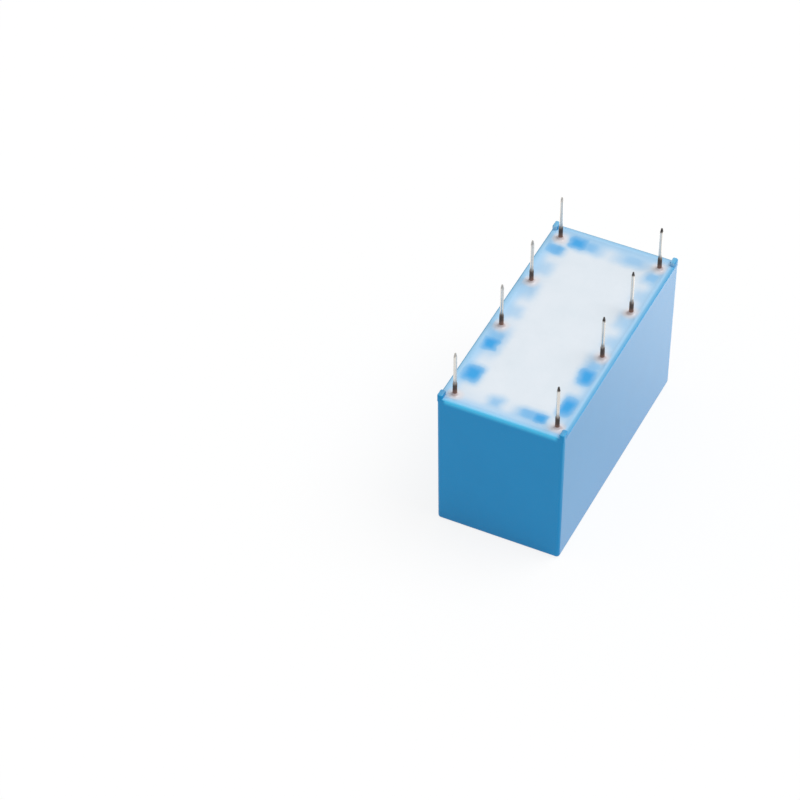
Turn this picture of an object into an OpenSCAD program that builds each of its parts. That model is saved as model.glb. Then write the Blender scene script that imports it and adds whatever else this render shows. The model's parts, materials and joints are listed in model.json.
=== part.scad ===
// Sealed two-pole signal relay with eight pins.
// A drafted case is open on its pin side, where a base and a layer of potting close it. Inside, a coil lies
// lengthwise. Its armature pulls a card along the closed face, and the card swings two changeover springs.
// The relay lies on its closed face: +Z points out of the base along the pins, +X runs from the coil pins to
// the contact pins, +Y is the left side, and the origin is in the middle of the closed face.

/* [Case] */
// Thickness of the case's side walls
wall = 0.45; // [0.35:0.05:0.5]
// Thickness of the closed face
face_t = 0.6; // [0.5:0.05:0.8]
// How far each wall leans out between the closed face and the rim
draft = 0.1; // [0.02:0.02:0.14]
// Radius of the case's outer edges
edge_r = 0.25; // [0.15:0.05:0.3]
// Chamfer on the rim's outer edge
rim_bevel = 0.08; // [0.04:0.02:0.1]
// Width of the ribs in the case's corners that the base rests on
ledge_w = 0.5; // [0.4:0.05:0.6]

/* [Feet] */
// Length of each standoff foot along the rim
foot_l = 0.7; // [0.5:0.05:1]
// Width of each standoff foot across the case
foot_w = 0.42; // [0.36:0.01:0.8]
// Height of each standoff foot above the rim
foot_h = 0.35; // [0.25:0.05:0.6]
// Radius of each foot's top edges
foot_r = 0.1; // [0.06:0.01:0.15]

/* [Moulding marks] */
// Depth of the two shallow pockets in the closed face
pocket_depth = 0.2; // [0.1:0.05:0.3]
// Length of the square pocket from the contact end
pocket_l = 2.4; // [1.5:0.1:3]
// Width of the square pocket
pocket_w = 2.3; // [1.5:0.1:2.8]
// Width of the land between the square pocket and the left side
pocket_land = 1; // [0.6:0.1:1.4]
// Length of the round-ended pocket from the contact end
gate_l = 1.3; // [1.2:0.1:2]
// Width of the round-ended pocket
gate_w = 2.1; // [1.5:0.1:2.2]

/* [Pins] */
// Pitch of the grid that the pins stand on
pitch = 2.54; // [2.5:0.01:2.56]
// Distance between the two rows of pins
row_gap = 7.62; // [7.5:0.02:7.66]
// Diameter of each pin
pin_d = 0.25; // [0.2:0.01:0.3]
// How far each pin stands beyond the feet
pin_reach = 3.4; // [2.8:0.1:4]
// Length of each pin's tapered tip
tip_l = 0.35; // [0.2:0.05:0.5]
// Diameter of the flat on each pin's tip
tip_d = 0.12; // [0.08:0.01:0.18]
// Diameter of each pin's thicker foot where it rises from its strip
root_d = 0.35; // [0.32:0.01:0.4]
// How much thinner that foot is at its top
root_lean = 0.03; // [0.01:0.01:0.05]
// How far each pin's thicker foot stands out of the potting
root_h = 1.2; // [0.8:0.1:1.6]
// Length of the taper between each foot and its pin
root_taper = 0.15; // [0.1:0.05:0.3]
// Distance from the case's coil end to the first pins
coil_margin = 0.95; // [0.8:0.05:1.1]
// Distance from the last pins to the case's contact end
open_margin = 1.27; // [1.1:0.01:2]
// Distance from each row of pins to the case's side
side_margin = 0.94; // [0.88:0.02:1.6]

/* [Base] */
// Thickness of the base
base_t = 1.7; // [1.4:0.1:2]
// Gap between the base and the case's walls
base_fit = 0.05; // [0.03:0.01:0.1]
// Thickness of the terminal strips that lie in the base's grooves
strip_t = 0.3; // [0.2:0.05:0.4]
// Width of the terminal strips
strip_w = 0.4; // [0.3:0.05:0.44]
// Gap around each strip and each pin in the base
groove_fit = 0.03; // [0.02:0.01:0.05]
// Thickness of the wall between the two sets of contacts
divider_t = 0.6; // [0.4:0.1:1]
// Length of the raised pads beside the pins
pad_l = 1.15; // [0.8:0.05:1.3]
// Width of the raised pads beside the pins
pad_w = 0.85; // [0.6:0.05:1]
// Length across the case of the raised pads at the two ends
end_pad_l = 1.3; // [1:0.1:1.6]
// Width of the raised pads at the two ends
end_pad_w = 0.75; // [0.6:0.05:0.9]
// Corner radius of the raised pads
pad_r = 0.15; // [0.1:0.05:0.25]
// Depth of potting over the lower pads
low_pad_cover = 0.2; // [0.1:0.05:0.3]

/* [Potting] */
// Depth of the potting over the base
potting_t = 0.65; // [0.5:0.05:0.8]
// How far the potting lies below the rim
potting_recess = 0.1; // [0.1:0.02:0.2]
// Gap between the potting and the walls or pins that it meets
potting_fit = 0.02; // [0.01:0.01:0.03]
// Height that the potting climbs up each pin
climb_h = 0.22; // [0.1:0.02:0.4]
// Diameter of the potting's collar round each pin
climb_d = 0.8; // [0.7:0.05:1]
// Thickness of that collar at its top
climb_lip = 0.05; // [0.04:0.01:0.08]

/* [Coil] */
// Diameter of the core
core_d = 3; // [2.7:0.1:3.3]
// Distance across from each row of pins to the bobbin's flanges
bobbin_gap = 0.61; // [0.55:0.01:0.8]
// Thickness of the bobbin's flanges
flange_t = 0.6; // [0.5:0.05:0.8]
// Wall of the bobbin's tube
tube_wall = 0.5; // [0.4:0.05:0.6]
// Distance from the edges of the bobbin's flanges to the winding
winding_gap = 0.55; // [0.4:0.05:0.7]
// Thickness of the winding
winding_t = 0.7; // [0.5:0.05:0.9]
// Thickness of the tape over the winding
tape_t = 0.08; // [0.05:0.01:0.12]
// Diameter of the coil's lead wires
lead_d = 0.1; // [0.08:0.01:0.12]
// Width of the post that each lead wire is wrapped on
post_w = 0.3; // [0.24:0.02:0.32]
// Height of the post below the base
post_h = 1.2; // [1:0.1:1.4]

/* [Iron parts] */
// Diameter of the core's pole head
head_d = 5; // [4.4:0.1:5.4]
// Thickness of the core's pole head
head_t = 0.6; // [0.5:0.05:0.8]
// Diameter of the core's stem where it is riveted through the yoke
stem_d = 1.8; // [1.4:0.1:2]
// Diameter of the riveted end
rivet_d = 2.4; // [2.2:0.1:2.8]
// Thickness of the riveted end
rivet_t = 0.25; // [0.2:0.05:0.3]
// Thickness of the yoke
yoke_t = 0.9; // [0.8:0.05:1.1]
// Width of the yoke
yoke_w = 4.8; // [4.4:0.1:5]
// Thickness of the armature
armature_t = 0.6; // [0.5:0.05:0.7]
// Width of the armature
armature_w = 5.2; // [4.8:0.1:5.4]
// Width of the armature's tip, where it meets the card
armature_tip_w = 3; // [2.6:0.1:3.4]
// Gap left between the armature and the pole when the relay is on
residual_gap = 0.07; // [0.06:0.01:0.1]
// Gap between the armature and the case's end wall when the relay is off
armature_room = 0.3; // [0.25:0.05:0.4]
// Thickness of the leaf that holds the armature on the yoke
leaf_t = 0.1; // [0.08:0.01:0.12]
// Width of that leaf
leaf_w = 2.4; // [2:0.1:3]

/* [Card] */
// Thickness of the card
card_t = 0.7; // [0.6:0.05:0.8]
// Width of the card between its guides
card_w = 2.9; // [2.4:0.1:3]
// Gap between the card and the closed face
card_gap = 0.25; // [0.2:0.05:0.3]
// Gap between the card and its guides
guide_fit = 0.1; // [0.08:0.01:0.12]
// Gap between the card and what it pushes on
push_gap = 0.05; // [0.04:0.01:0.08]
// Width of the card's tongue in the armature's notch
tongue_w = 1; // [0.8:0.1:1.2]

/* [Contacts] */
// Travel of each moving contact between its two fixed contacts
contact_travel = 0.4; // [0.3:0.02:0.44]
// Gap between a moving contact and the fixed contact that it rests on
contact_gap = 0.04; // [0.03:0.01:0.05]
// Diameter of each contact's head
contact_d = 1; // [0.8:0.05:1.1]
// Thickness of each contact's head
contact_t = 0.25; // [0.2:0.01:0.3]
// Distance from the card to the middle of the contacts
contact_drop = 1.65; // [1.5:0.05:2]
// Thickness of the moving springs
spring_t = 0.12; // [0.1:0.01:0.15]
// Thickness of the fixed blades
blade_t = 0.25; // [0.2:0.01:0.3]
// Width of the springs and blades
blade_w = 1.8; // [1.6:0.05:1.9]
// Distance between the yoke and the first fixed blade
contact_room = 1.4; // [1.3:0.05:1.6]

/* [Hidden] */

$fn = 48;
left = 1;
right = -1;
sides = [left, right];
// Extra length of a cutting shape past the face that it opens
over = 0.5;
// Facets of the small shapes that a hull is drawn round
hull_fn = 24;
// Thickness of the thin slices that a hull joins
skin = 0.001;

// Case, round the pins' grid
case_l = coil_margin + 7 * pitch + open_margin;
case_w = row_gap + 2 * side_margin;
half_l = case_l / 2;
half_w = case_w / 2;
inner_near_x = -half_l + wall + draft;
ledge_x = half_l - wall - ledge_w / 2;
ledge_y = half_w - wall - ledge_w / 2;

// Coil, from the core outwards
bore_fit = 0.03;
shank_fit = 0.02;
tube_d = core_d + 2 * (bore_fit + tube_wall);
winding_d = tube_d + 2 * (shank_fit + winding_t);
bobbin_w = row_gap - 2 * bobbin_gap;

// Levels, from the closed face up to the pins
coil_clear = 0.05;
card_z0 = face_t + card_gap;
card_z1 = card_z0 + card_t;
card_mid_z = (card_z0 + card_z1) / 2;
flange_z0 = card_z1 + guide_fit;
flange_z1 = flange_z0 + winding_d + 2 * winding_gap;
coil_z = (flange_z0 + flange_z1) / 2;
yoke_z0 = flange_z1 + coil_clear;
base_z0 = yoke_z0 + yoke_t;
strip_z1 = base_z0 + strip_t;
base_z1 = base_z0 + base_t;
potting_z = base_z1 + potting_t;
case_h = potting_z + potting_recess;
root_z = potting_z + root_h;
seat_z = case_h + foot_h;
pin_z = seat_z + pin_reach;
contact_z = card_z1 + contact_drop;

// Pins, counted in steps of the grid from the coil pins
coil_x = -half_l + coil_margin;
common_x = coil_x + 3 * pitch;
closed_x = coil_x + 5 * pitch;
open_x = coil_x + 7 * pitch;
pins_x = [coil_x, common_x, closed_x, open_x];
row_y = row_gap / 2;

// Contact stack: the moving spring stands between the two fixed blades
stack_x = (closed_x + open_x) / 2;
spring_x0 = stack_x - contact_travel / 2 - spring_t / 2;
spring_x1 = spring_x0 + spring_t;
closed_face_x = spring_x0 - contact_t - contact_gap;
closed_blade_x0 = closed_face_x - contact_t - blade_t;
open_face_x = spring_x1 + contact_t + contact_gap + contact_travel;
open_blade_x0 = open_face_x + contact_t;
pole_y = row_y - blade_w / 2;
contact_face_d = contact_d / 2;
shank_d = contact_d * 0.4;
tab_w = 1;
tab_h = 1.2;
blade_root_z = base_z0 - tab_h;
blade_tail = 0.2;
blade_end_z = contact_z - contact_d / 2 - blade_tail;

// Motion: the moving contact's travel sets the angles and the card's travel
spring_pivot_z = base_z0 - coil_clear;
spring_angle = asin(contact_travel / (spring_pivot_z - contact_z));
card_travel = (spring_pivot_z - card_mid_z) * sin(spring_angle);
pivot_drop = 0.2;
armature_pivot_z = base_z0 - pivot_drop;
armature_angle = asin(card_travel / (armature_pivot_z - card_mid_z));

// Coil and iron parts, from the case's end wall to the contact stack
armature_x1 = inner_near_x + armature_room + armature_t + card_travel;
pole_x = armature_x1 + residual_gap;
near_flange_x = pole_x + head_t;
yoke_x1 = closed_blade_x0 - contact_room;
far_flange_x = yoke_x1 - yoke_t - flange_t;
winding_x0 = near_flange_x + flange_t;
ear_w = 0.6;
divider_gap = 0.35;
divider_x0 = yoke_x1 + rivet_t + divider_gap;

// Card
card_x0 = armature_x1 - (armature_pivot_z - card_z1) * tan(armature_angle) + push_gap;
card_x1 = spring_x0 - push_gap;
card_arm_l = 0.8;
finger_l = 0.9;
finger_w = 1.2;
card_arm_x = card_x1 - finger_l - card_arm_l;

// Armature
tip_lift = 0.05;
heel_h = 0.1;
neck_h = 0.65;
notch_gap = 0.15;
armature_z0 = card_z0 + tip_lift;
armature_z1 = armature_pivot_z + heel_h;
armature_neck_z = flange_z0 + neck_h;

// Leaf spring on the armature's heel
leaf_drop = 1.8;
leaf_l = 4;
leaf_z0 = armature_pivot_z - leaf_drop;
leaf_x1 = armature_x1 - armature_t - leaf_drop * tan(armature_angle) - push_gap;

// Coil terminals and lead wires
post_x = near_flange_x + flange_t / 2;
wrap_gap = 0.01;
wrap_r = post_w * sqrt(0.5) + wrap_gap + lead_d / 2;
wrap_up = 0.3;
wrap_z = base_z0 - post_h + wrap_up;
wrap_rise = 1.1 * lead_d;
wrap_turns = 2;
wrap_steps = 10;
lead_bend_x = winding_x0 + 0.3;
lead_end_r = winding_d / 2 + tape_t + lead_d;
lead_path = concat(
    [for (i = [0:wrap_turns * wrap_steps])
        [post_x + wrap_r * cos(i * 360 / wrap_steps), row_y - wrap_r * sin(i * 360 / wrap_steps),
         wrap_z + (wrap_turns - i / wrap_steps) * wrap_rise]],
    [[lead_bend_x - 0.1, bobbin_w / 2 + 2.5 * lead_d, wrap_z - 0.2],
     [lead_bend_x, bobbin_w / 2 + lead_d, wrap_z - 0.4],
     [lead_bend_x, lead_end_r * sin(45), coil_z + lead_end_r * cos(45)]]);

// Pads on the base, each [x, y, length, width], along the sides at steps of the grid and at the two ends
pad_margin = 0.12;
pad_y = half_w - wall - pad_margin - pad_w / 2;
end_pad_x = half_l - wall - pad_margin - end_pad_w / 2;
high_steps = [1, 2.2];
low_steps = [3.62, 4.68, 5.74, 6.5];
low_pad_l = 0.8;
near_pad_y = 1.95;
far_pad_y = 2.45;
low_end_pad_y = -1.4;
low_end_pad_l = 2;
high_pads = concat(
    [for (s = sides, at = high_steps) [coil_x + at * pitch, s * pad_y, pad_l, pad_w]],
    [for (s = sides) [-end_pad_x, s * near_pad_y, end_pad_w, end_pad_l]],
    [[end_pad_x, far_pad_y, end_pad_w, end_pad_l]]);
low_pads = concat(
    [for (s = sides, at = low_steps) [coil_x + at * pitch, s * pad_y, low_pad_l, pad_w]],
    [[end_pad_x, low_end_pad_y, end_pad_w, low_end_pad_l]]);

// Half width or half length of the case's cavity at height z, from its value at the rim
function cavity_half(half, z) = half - wall - draft * (1 - z / case_h);

// Four copies, one in each corner
module corners(x, y) {
    for (sx = sides, sy = sides)
        translate([sx * x, sy * y, 0]) children();
}

// Flat box from low corner to high corner
module span(low, high) {
    translate(low) cube(high - low);
}

// Box whose ends and sides lean: [half length, half width] at z0 and at z1
module tapered(half0, z0, half1, z1) {
    hull() {
        translate([-half0[0], -half0[1], z0]) cube([2 * half0[0], 2 * half0[1], skin]);
        translate([-half1[0], -half1[1], z1 - skin]) cube([2 * half1[0], 2 * half1[1], skin]);
    }
}

// Filling of the case's cavity between two heights, smaller by gap on each side
module cavity(z0, z1, gap) {
    tapered([cavity_half(half_l, z0) - gap, cavity_half(half_w, z0) - gap], z0,
            [cavity_half(half_l, z1) - gap, cavity_half(half_w, z1) - gap], z1);
}

// Rounded rectangle about the origin
module round_rect(l, w, r) {
    square([l - 2 * r, w], center = true);
    square([l, w - 2 * r], center = true);
    for (x = [r - l / 2, l / 2 - r], y = [r - w / 2, w / 2 - r])
        translate([x, y]) circle(r);
}

// Wire of diameter d along a path that is nowhere vertical
module sweep(path, d) {
    n = 6;
    last = len(path) - 1;
    points = [for (i = [0:last])
        let (along = path[min(i + 1, last)] - path[max(i - 1, 0)],
             across = cross([0, 0, 1], along),
             u = across / norm(across),
             v = cross(along / norm(along), u))
        for (j = [0:n - 1]) path[i] + d / 2 * (cos(j * 360 / n) * u + sin(j * 360 / n) * v)];
    walls = [for (i = [0:last - 1], j = [0:n - 1])
        let (k = (j + 1) % n) [i * n + j, (i + 1) * n + j, (i + 1) * n + k, i * n + k]];
    polyhedron(points, concat(walls, [[for (j = [0:n - 1]) j]], [[for (j = [n - 1:-1:0]) last * n + j]]));
}

// Cylinder along +X
module rod_x(x0, x1, y, z, d1, d2) {
    translate([x0, y, z]) rotate([0, 90, 0]) cylinder(d1 = d1, d2 = d2, h = x1 - x0);
}

// Outer form of the case without its feet
module case_body() {
    hull() {
        translate([0, 0, edge_r]) corners(half_l - draft - edge_r, half_w - draft - edge_r)
            sphere(edge_r, $fn = hull_fn);
        translate([0, 0, case_h - rim_bevel - skin]) corners(half_l - edge_r, half_w - edge_r)
            cylinder(r = edge_r, h = skin, $fn = hull_fn);
        translate([0, 0, case_h - skin]) corners(half_l - edge_r, half_w - edge_r)
            cylinder(r = edge_r - rim_bevel, h = skin, $fn = hull_fn);
    }
}

// One foot at the corner given by the two signs, flush with the outer faces
module foot(sx, sy) {
    low = [half_l - foot_l, half_w - foot_w, potting_z];
    mirror([sx < 0 ? 1 : 0, 0, 0]) mirror([0, sy < 0 ? 1 : 0, 0]) hull() {
        span(low, [half_l - edge_r, half_w - edge_r, seat_z - foot_r]);
        translate([half_l - edge_r, half_w - edge_r, low[2]])
            cylinder(r = edge_r, h = seat_z - foot_r - low[2], $fn = hull_fn);
        for (x = [low[0] + foot_r, half_l - foot_r], y = [low[1] + foot_r, half_w - foot_r])
            translate([x, y, seat_z - foot_r]) sphere(foot_r, $fn = hull_fn);
    }
}

module cover() {
    color([0.2, 0.6, 0.88]) difference() {
        union() {
            difference() {
                case_body();
                cavity(face_t, case_h + over, 0);
            }
            corners(ledge_x, ledge_y)
                translate([-ledge_w / 2, -ledge_w / 2, face_t / 2]) cube([ledge_w, ledge_w, base_z0 - face_t / 2]);
            for (sx = sides, sy = sides) foot(sx, sy);
        }
        span([half_l - pocket_l, half_w - pocket_land - pocket_w, -over],
             [half_l + over, half_w - pocket_land, pocket_depth]);
        translate([half_l - gate_l, 0, -over]) linear_extrude(over + pocket_depth) {
            translate([gate_w / 2, 0]) circle(d = gate_w);
            translate([gate_w / 2, -gate_w / 2]) square([gate_l, gate_w]);
        }
    }
}

// Grooves in the base for one side's terminal strips
module strip_grooves(s) {
    g = groove_fit;
    mirror([0, s < 0 ? 1 : 0, 0]) translate([0, 0, -over]) linear_extrude(strip_z1 + over) {
        offset(delta = g) strip_plan_coil();
        offset(delta = g) strip_plan_common();
        offset(delta = g) strip_plan_closed();
        offset(delta = g) strip_plan_open();
    }
}

// Pads between two heights
module pads(list, z0, z1) {
    for (p = list)
        translate([p[0], p[1], z0]) linear_extrude(z1 - z0) round_rect(p[2], p[3], pad_r);
}

module base() {
    color([0.16, 0.55, 0.85]) difference() {
        union() {
            span([base_fit - cavity_half(half_l, base_z0), base_fit - cavity_half(half_w, base_z0), base_z0],
                 [cavity_half(half_l, base_z0) - base_fit, cavity_half(half_w, base_z0) - base_fit, base_z1]);
            pads(high_pads, base_z0 + base_t / 2, potting_z);
            pads(low_pads, base_z0 + base_t / 2, potting_z - low_pad_cover);
            span([divider_x0, -divider_t / 2, blade_end_z],
                 [cavity_half(half_l, face_t) - ledge_w, divider_t / 2, base_z0]);
        }
        for (s = sides) {
            strip_grooves(s);
            for (x = pins_x)
                translate([x, s * row_y, base_z0 - over]) cylinder(d = root_d + 2 * groove_fit, h = base_t + 2 * over);
        }
        span([leaf_x1 - leaf_t - groove_fit, -leaf_w / 2 - groove_fit, base_z0 - over],
             [leaf_x1 + leaf_l + groove_fit, leaf_w / 2 + groove_fit, base_z0 + leaf_t + groove_fit]);
    }
}

module potting() {
    color([0.87, 0.91, 0.94]) difference() {
        union() {
            cavity(base_z1, potting_z, potting_fit);
            for (x = pins_x, s = sides)
                translate([x, s * row_y, potting_z]) cylinder(d1 = climb_d, d2 = root_d + 2 * climb_lip, h = climb_h);
        }
        for (x = pins_x, s = sides)
            translate([x, s * row_y, base_z1 - over])
                cylinder(d = root_d + 2 * potting_fit, h = potting_t + climb_h + 2 * over);
        pads(high_pads, base_z1 - over, potting_z + over);
        pads(low_pads, base_z1 - over, potting_z - low_pad_cover);
    }
}

// Plans of the flat strips on the left side; the right side mirrors them
module strip_plan_coil() {
    translate([coil_x - strip_w / 2, row_y - strip_w / 2]) square([post_x + post_w / 2 - coil_x + strip_w / 2, strip_w]);
}

module strip_plan_common() {
    translate([common_x - strip_w / 2, pole_y - strip_w / 2]) square([strip_w, row_y - pole_y + strip_w]);
    translate([common_x - strip_w / 2, pole_y - strip_w / 2]) square([spring_x0 - common_x + strip_w / 2, strip_w]);
    translate([spring_x0 - blade_t, pole_y - tab_w / 2]) square([blade_t, tab_w]);
}

module strip_plan_closed() {
    translate([closed_x - strip_w / 2, row_y - strip_w / 2])
        square([closed_blade_x0 + blade_t - closed_x + strip_w / 2, strip_w]);
}

module strip_plan_open() {
    translate([open_blade_x0, row_y - strip_w / 2]) square([open_x - open_blade_x0 + strip_w / 2, strip_w]);
}

// A terminal: its pin, from the thicker foot to the tapered tip, and what else it carries
module terminal(x, s) {
    color([0.78, 0.78, 0.76]) mirror([0, s < 0 ? 1 : 0, 0]) {
        translate([x, row_y, base_z0]) cylinder(d1 = root_d, d2 = root_d - root_lean, h = root_z - root_taper - base_z0);
        translate([x, row_y, root_z - root_taper]) cylinder(d1 = root_d - root_lean, d2 = pin_d, h = root_taper);
        translate([x, row_y, root_z]) cylinder(d = pin_d, h = pin_z - tip_l - root_z);
        translate([x, row_y, pin_z - tip_l]) cylinder(d1 = pin_d, d2 = tip_d, h = tip_l);
        children();
    }
}

module coil_terminal(s) {
    terminal(coil_x, s) {
        translate([0, 0, base_z0]) linear_extrude(strip_t) strip_plan_coil();
        span([post_x - post_w / 2, row_y - post_w / 2, base_z0 - post_h],
             [post_x + post_w / 2, row_y + post_w / 2, base_z0 + strip_t / 2]);
    }
}

module common_terminal(s) {
    terminal(common_x, s) {
        translate([0, 0, base_z0]) linear_extrude(strip_t) strip_plan_common();
        span([spring_x0 - blade_t, pole_y - tab_w / 2, blade_root_z],
             [spring_x0, pole_y + tab_w / 2, base_z0 + strip_t / 2]);
    }
}

// Fixed blade with a hole for its contact's shank, hung from the strip by a narrow leg
module fixed_blade(x0) {
    difference() {
        union() {
            span([x0, row_y - strip_w / 2, blade_root_z - strip_w], [x0 + blade_t, row_y + strip_w / 2, base_z0 + strip_t / 2]);
            span([x0, pole_y - blade_w / 2, blade_end_z], [x0 + blade_t, pole_y + blade_w / 2, blade_root_z]);
        }
        rod_x(x0 - over, x0 + blade_t + over, pole_y, contact_z, shank_d + 2 * shank_fit, shank_d + 2 * shank_fit);
    }
}

module closed_terminal(s) {
    terminal(closed_x, s) {
        translate([0, 0, base_z0]) linear_extrude(strip_t) strip_plan_closed();
        fixed_blade(closed_blade_x0);
    }
}

module open_terminal(s) {
    terminal(open_x, s) {
        translate([0, 0, base_z0]) linear_extrude(strip_t) strip_plan_open();
        fixed_blade(open_blade_x0);
    }
}

module closed_contact(s) {
    color([0.85, 0.86, 0.88]) mirror([0, s < 0 ? 1 : 0, 0]) {
        rod_x(closed_blade_x0, closed_face_x - contact_t / 2, pole_y, contact_z, shank_d, shank_d);
        rod_x(closed_face_x - contact_t, closed_face_x, pole_y, contact_z, contact_d, contact_face_d);
    }
}

module open_contact(s) {
    color([0.85, 0.86, 0.88]) mirror([0, s < 0 ? 1 : 0, 0]) {
        rod_x(open_face_x + contact_t / 2, open_blade_x0 + blade_t, pole_y, contact_z, shank_d, shank_d);
        rod_x(open_face_x, open_face_x + contact_t, pole_y, contact_z, contact_face_d, contact_d);
    }
}

module moving_contact(s) {
    color([0.85, 0.86, 0.88]) mirror([0, s < 0 ? 1 : 0, 0]) {
        rod_x(spring_x0 - contact_t, spring_x0, pole_y, contact_z, contact_face_d, contact_d);
        rod_x(spring_x0 - contact_t / 2, spring_x1 + contact_t / 2, pole_y, contact_z, shank_d, shank_d);
        rod_x(spring_x1, spring_x1 + contact_t, pole_y, contact_z, contact_d, contact_face_d);
    }
}

module moving_spring(s) {
    color([0.8, 0.62, 0.35]) mirror([0, s < 0 ? 1 : 0, 0]) difference() {
        span([spring_x0, pole_y - blade_w / 2, card_z0], [spring_x1, pole_y + blade_w / 2, spring_pivot_z]);
        rod_x(spring_x0 - over, spring_x1 + over, pole_y, contact_z, shank_d + 2 * shank_fit, shank_d + 2 * shank_fit);
    }
}

// Bobbin flange at x, with two ears that guide the card
module flange(x) {
    span([x, -bobbin_w / 2, flange_z0], [x + flange_t, bobbin_w / 2, flange_z1]);
    for (s = sides)
        mirror([0, s < 0 ? 1 : 0, 0])
            span([x, card_w / 2 + guide_fit, card_z0], [x + flange_t, card_w / 2 + guide_fit + ear_w, flange_z0 + guide_fit]);
}

module bobbin() {
    color([0.93, 0.91, 0.85]) difference() {
        union() {
            flange(near_flange_x);
            flange(far_flange_x);
            rod_x(near_flange_x, far_flange_x + flange_t, 0, coil_z, tube_d, tube_d);
        }
        rod_x(near_flange_x - over, far_flange_x + flange_t + over, 0, coil_z, core_d + 2 * bore_fit, core_d + 2 * bore_fit);
    }
}

// Tube round the bobbin between its flanges
module sleeve(inner_d, outer_d) {
    translate([winding_x0, 0, coil_z]) rotate([0, 90, 0]) rotate_extrude()
        translate([inner_d / 2, shank_fit]) square([(outer_d - inner_d) / 2, far_flange_x - winding_x0 - 2 * shank_fit]);
}

module winding() {
    color([0.72, 0.36, 0.16]) sleeve(tube_d + 2 * shank_fit, winding_d);
}

module winding_tape() {
    color([0.95, 0.85, 0.35]) sleeve(winding_d + 2 * shank_fit, winding_d + 2 * (shank_fit + tape_t));
}

// Lead wire: two turns round the post, then over the flange's edge to the winding
module lead_wire(s) {
    color([0.75, 0.4, 0.2]) mirror([0, s < 0 ? 1 : 0, 0]) sweep(lead_path, lead_d);
}

module core() {
    color([0.7, 0.7, 0.72]) {
        rod_x(pole_x, near_flange_x, 0, coil_z, head_d, head_d);
        rod_x(pole_x, yoke_x1 - yoke_t, 0, coil_z, core_d, core_d);
        rod_x(pole_x, yoke_x1 + rivet_t, 0, coil_z, stem_d, stem_d);
        rod_x(yoke_x1, yoke_x1 + rivet_t, 0, coil_z, rivet_d, rivet_d);
    }
}

module yoke() {
    color([0.62, 0.63, 0.65]) difference() {
        union() {
            span([pole_x, -yoke_w / 2, yoke_z0], [yoke_x1, yoke_w / 2, base_z0]);
            span([yoke_x1 - yoke_t, -yoke_w / 2, coil_z - head_d / 2], [yoke_x1, yoke_w / 2, base_z0]);
        }
        rod_x(yoke_x1 - yoke_t - over, yoke_x1 + over, 0, coil_z, stem_d + 2 * shank_fit, stem_d + 2 * shank_fit);
    }
}

// Leaf on the yoke that bends round the armature's heel
module hinge_spring() {
    color([0.8, 0.62, 0.35]) {
        span([leaf_x1 - leaf_t, -leaf_w / 2, base_z0], [leaf_x1 + leaf_l, leaf_w / 2, base_z0 + leaf_t]);
        span([leaf_x1 - leaf_t, -leaf_w / 2, leaf_z0], [leaf_x1, leaf_w / 2, base_z0 + leaf_t]);
    }
}

// The armature is drawn flat on the pole and then turned open about its heel
module armature() {
    notch_w = tongue_w + 2 * notch_gap;
    x0 = armature_x1 - armature_t;
    pivot = [armature_x1, 0, armature_pivot_z];
    color([0.66, 0.67, 0.7]) translate(pivot) rotate([0, armature_angle, 0]) translate(-pivot) difference() {
        union() {
            span([x0, -armature_w / 2, armature_neck_z], [armature_x1, armature_w / 2, armature_z1]);
            span([x0, -armature_tip_w / 2, armature_z0], [armature_x1, armature_tip_w / 2, armature_neck_z + 0.1]);
        }
        span([x0 - over, -notch_w / 2, armature_z0 - over], [armature_x1 + over, notch_w / 2, card_z1 + 2 * guide_fit]);
    }
}

module card() {
    tongue_l = armature_t;
    color([0.9, 0.88, 0.8]) translate([0, 0, card_z0]) linear_extrude(card_t) {
        translate([card_x0 - tongue_l, -tongue_w / 2]) square([tongue_l + card_t, tongue_w]);
        translate([card_x0, -card_w / 2]) square([card_arm_x + card_arm_l - card_x0, card_w]);
        translate([card_arm_x, -pole_y - finger_w / 2]) square([card_arm_l, 2 * pole_y + finger_w]);
        for (s = sides)
            translate([card_arm_x, s * pole_y - finger_w / 2]) square([card_x1 - card_arm_x, finger_w]);
    }
}

cover();
base();
potting();
coil_terminal(left);  // coil_terminal_left
coil_terminal(right);  // coil_terminal_right
common_terminal(left);  // common_terminal_left
common_terminal(right);  // common_terminal_right
closed_terminal(left);  // closed_terminal_left
closed_terminal(right);  // closed_terminal_right
open_terminal(left);  // open_terminal_left
open_terminal(right);  // open_terminal_right
bobbin();
winding();
winding_tape();
lead_wire(left);  // lead_wire_left
lead_wire(right);  // lead_wire_right
core();
yoke();
hinge_spring();
armature();
card();
moving_spring(left);  // moving_spring_left
moving_spring(right);  // moving_spring_right
moving_contact(left);  // moving_contact_left
moving_contact(right);  // moving_contact_right
closed_contact(left);  // closed_contact_left
closed_contact(right);  // closed_contact_right
open_contact(left);  // open_contact_left
open_contact(right);  // open_contact_right
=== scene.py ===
"""A sealed signal relay that lies on its closed face with its pins up, dressed round its frame.

Shapes are worked out in millimetres along the frame's own axes and written in metres.
"""
import json
import math

import bpy
from mathutils import Matrix, Vector, noise
from mathutils.geometry import delaunay_2d_cdt


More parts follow.
